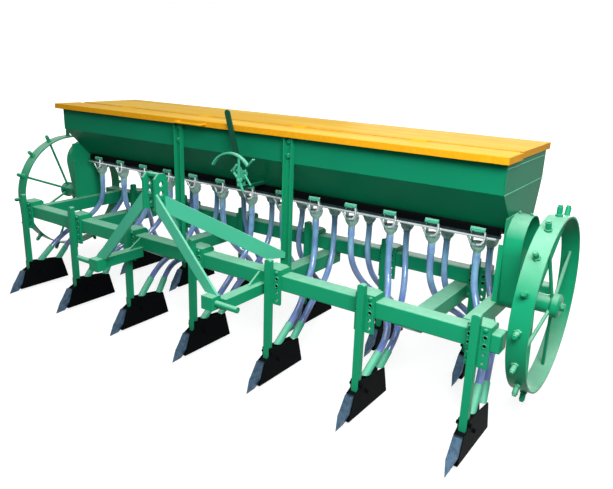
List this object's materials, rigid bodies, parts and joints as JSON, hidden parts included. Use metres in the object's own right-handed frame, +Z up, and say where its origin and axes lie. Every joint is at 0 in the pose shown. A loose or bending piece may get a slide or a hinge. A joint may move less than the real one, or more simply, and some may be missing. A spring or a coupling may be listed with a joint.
{
  "type": "tractor-mounted seed and fertiliser drill",
  "caption": "Tractor-mounted tine drill: a divided seed and fertiliser hopper over a tined frame, with hoses to every boot and pegged drive wheels at the ends.",
  "frame": {"origin": "on the ground under the middle of the machine's outer box (hoses not counted)", "axes": "+X along the toolbars to the right as seen from the hitch side, +Y away from the tractor, +Z up"},
  "size_m": [2.732, 1.011, 1.015],
  "materials": {
    "green_paint": "semi-gloss enamel",
    "yellow_paint": "semi-gloss enamel",
    "black_paint": "satin",
    "worn_steel": "worn by soil",
    "bare_steel": "plain",
    "feed_plastic": "satin",
    "hose_plastic": "smooth clear"
  },
  "bodies": {
    "frame": {"centre_members": "green_paint", "chain_guards": "green_paint", "end_members": "green_paint", "end_supports": "green_paint", "feed_shafts": "bare_steel", "front_boot_tubes": "green_paint", "front_boots": "black_paint", "front_clamps": "black_paint", "front_feeds": "feed_plastic", "front_points": "worn_steel", "front_shanks": "green_paint", "front_tine_front_hoses": "hose_plastic", "front_tine_rear_hoses": "hose_plastic", "front_toolbar": "green_paint", "hitch_arms": "green_paint", "hitch_pins": "green_paint", "hopper_ends": "green_paint", "hopper_front": "green_paint", "hopper_partition": "green_paint", "hopper_rear": "green_paint", "inner_members": "green_paint", "lever_quadrant": "green_paint", "lid_hinges": "bare_steel", "mast_bars": "green_paint", "mast_braces": "green_paint", "mast_plates": "green_paint", "posts": "green_paint", "rear_boot_tubes": "green_paint", "rear_boots": "black_paint", "rear_clamps": "black_paint", "rear_feeds": "feed_plastic", "rear_points": "worn_steel", "rear_shanks": "green_paint", "rear_tine_front_hoses": "hose_plastic", "rear_tine_rear_hoses": "hose_plastic", "rear_toolbar": "green_paint", "seed_rate_lever": "green_paint", "wheel_bearings": "bare_steel"},
    "right_wheel": {"right_wheel": "green_paint"},
    "left_wheel": {"left_wheel": "green_paint"},
    "front_lid": {"front_lid": "yellow_paint", "front_handle": "black_paint"},
    "rear_lid": {"rear_lid": "yellow_paint", "rear_handle": "black_paint"}
  },
  "joints": [
    {"name": "right_wheel_turn", "type": "hinge", "parent": "frame", "child": "right_wheel", "pos_m": [1.311, 0.1055, 0.457], "axis": [1, 0, 0], "continuous": true},
    {"name": "left_wheel_turn", "type": "hinge", "parent": "frame", "child": "left_wheel", "pos_m": [-1.311, 0.1055, 0.457], "axis": [1, 0, 0], "continuous": true},
    {"name": "front_lid_hinge", "type": "hinge", "parent": "frame", "child": "front_lid", "pos_m": [0, 0.1035, 0.9538], "axis": [-1, 0, 0], "range_deg": [0, 80]},
    {"name": "rear_lid_hinge", "type": "hinge", "parent": "frame", "child": "rear_lid", "pos_m": [0, 0.1215, 0.9538], "axis": [1, 0, 0], "range_deg": [0, 80]}
  ]
}
